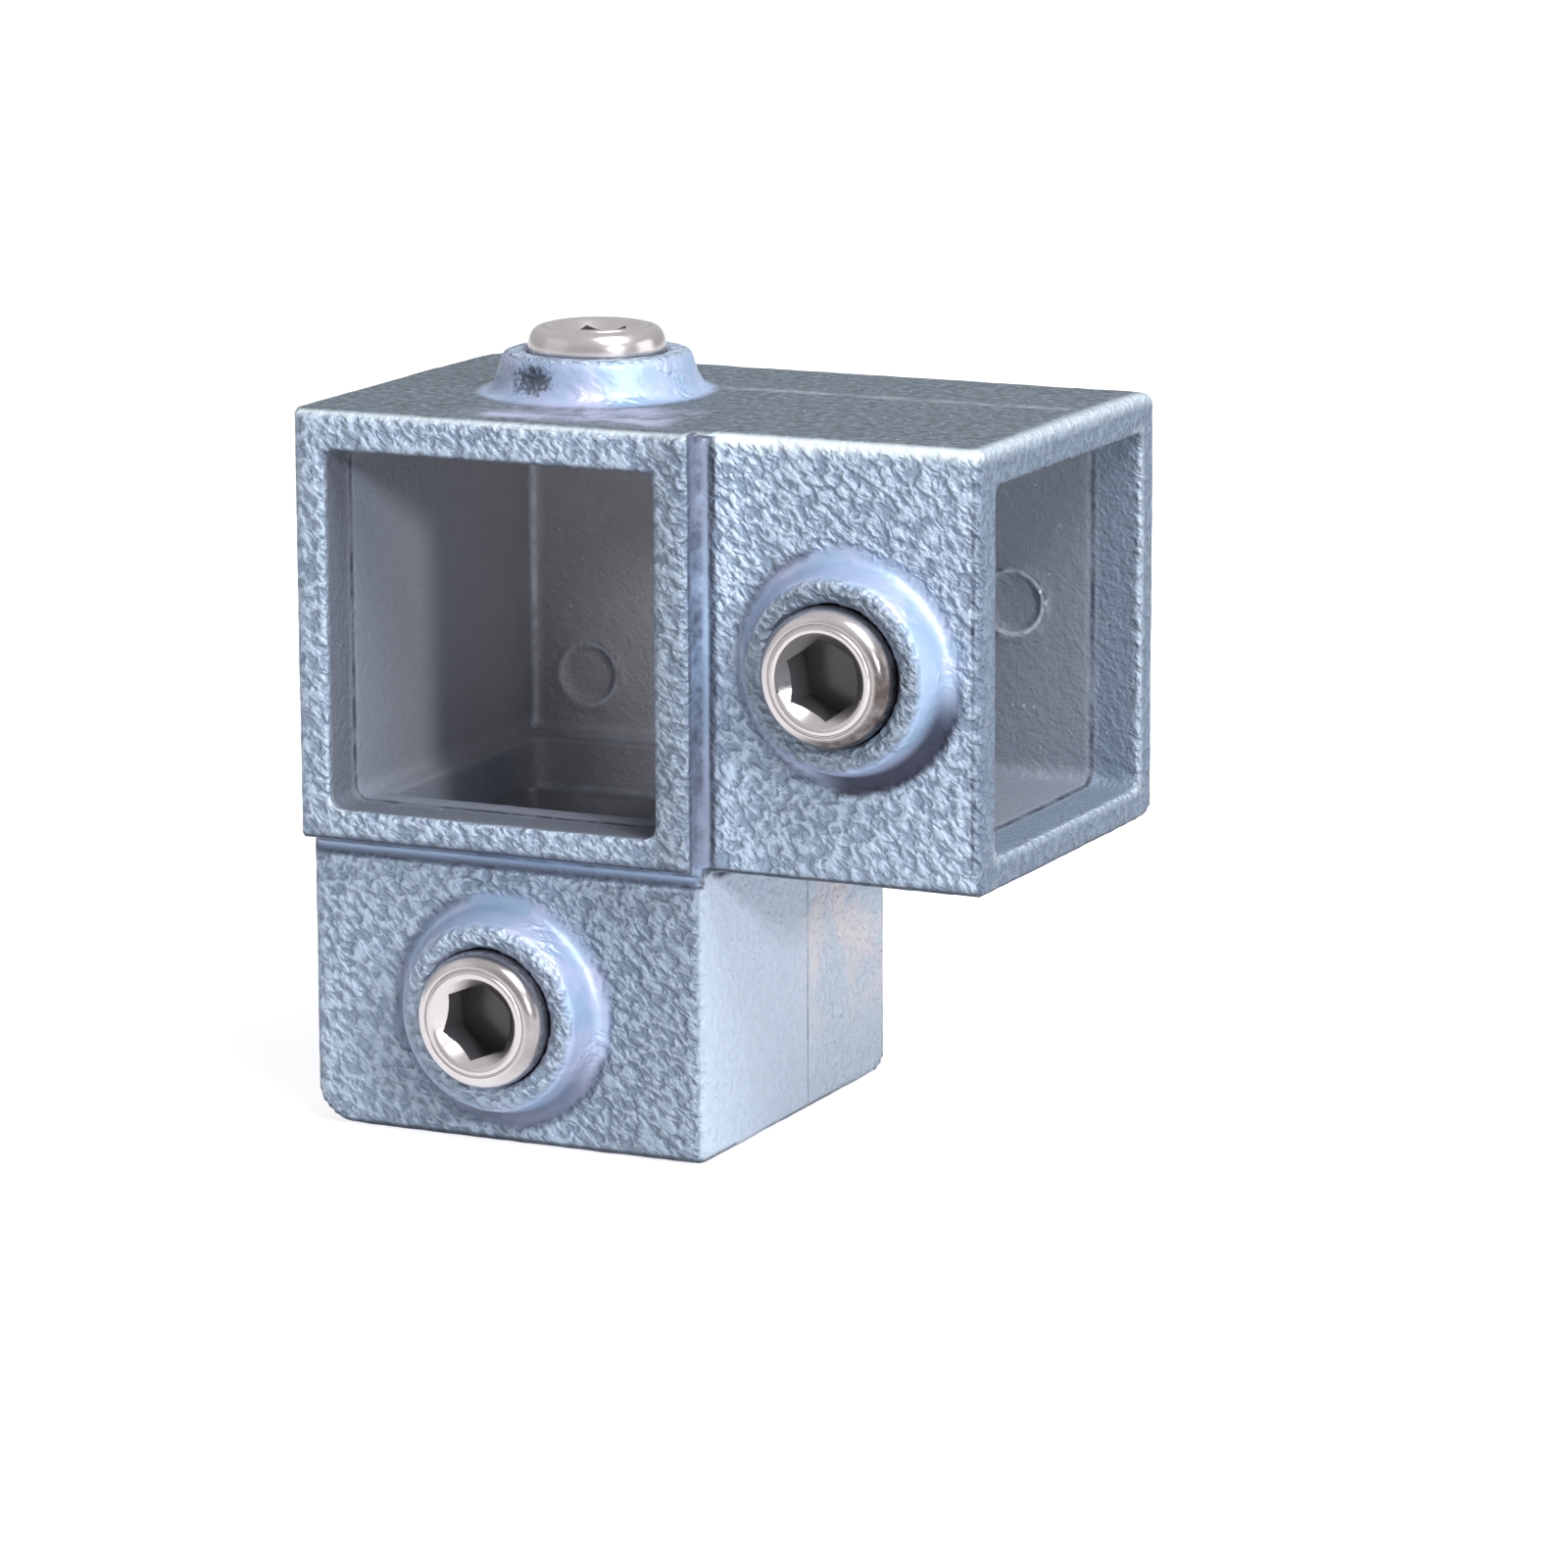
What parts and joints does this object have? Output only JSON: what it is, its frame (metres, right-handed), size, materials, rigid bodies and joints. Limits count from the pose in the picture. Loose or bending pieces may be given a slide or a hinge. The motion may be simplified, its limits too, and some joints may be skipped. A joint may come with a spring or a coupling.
{
  "type": "square tube corner connector",
  "caption": "Cast corner connector with square sockets at right angles to each other, each with a set screw in a round boss that clamps the square tube pushed into it.",
  "frame": {"origin": "centre of the lower socket's mouth, on the plane that the part stands on", "axes": "+X out of the right socket's mouth, -Y out of the front socket's mouth, -Z out of the lower socket's mouth"},
  "size_m": [0.0848, 0.0585, 0.0923],
  "materials": {
    "galvanised_iron": "hot-dip galvanised casting, crinkled",
    "stainless_steel": "turned and polished"
  },
  "bodies": {
    "casting": {"corner_casting": "galvanised_iron"},
    "top_screw": {"top_set_screw": "stainless_steel"},
    "right_screw": {"right_set_screw": "stainless_steel"},
    "lower_screw": {"lower_set_screw": "stainless_steel"}
  },
  "joints": [
    {"name": "top_screw_drive", "type": "slide", "parent": "casting", "child": "top_screw", "axis": [0, 0, -1], "range_m": [0, 0.0029]},
    {"name": "right_screw_drive", "type": "slide", "parent": "casting", "child": "right_screw", "axis": [0, 1, 0], "range_m": [0, 0.0029]},
    {"name": "lower_screw_drive", "type": "slide", "parent": "casting", "child": "lower_screw", "axis": [0, 1, 0], "range_m": [0, 0.0029]}
  ]
}
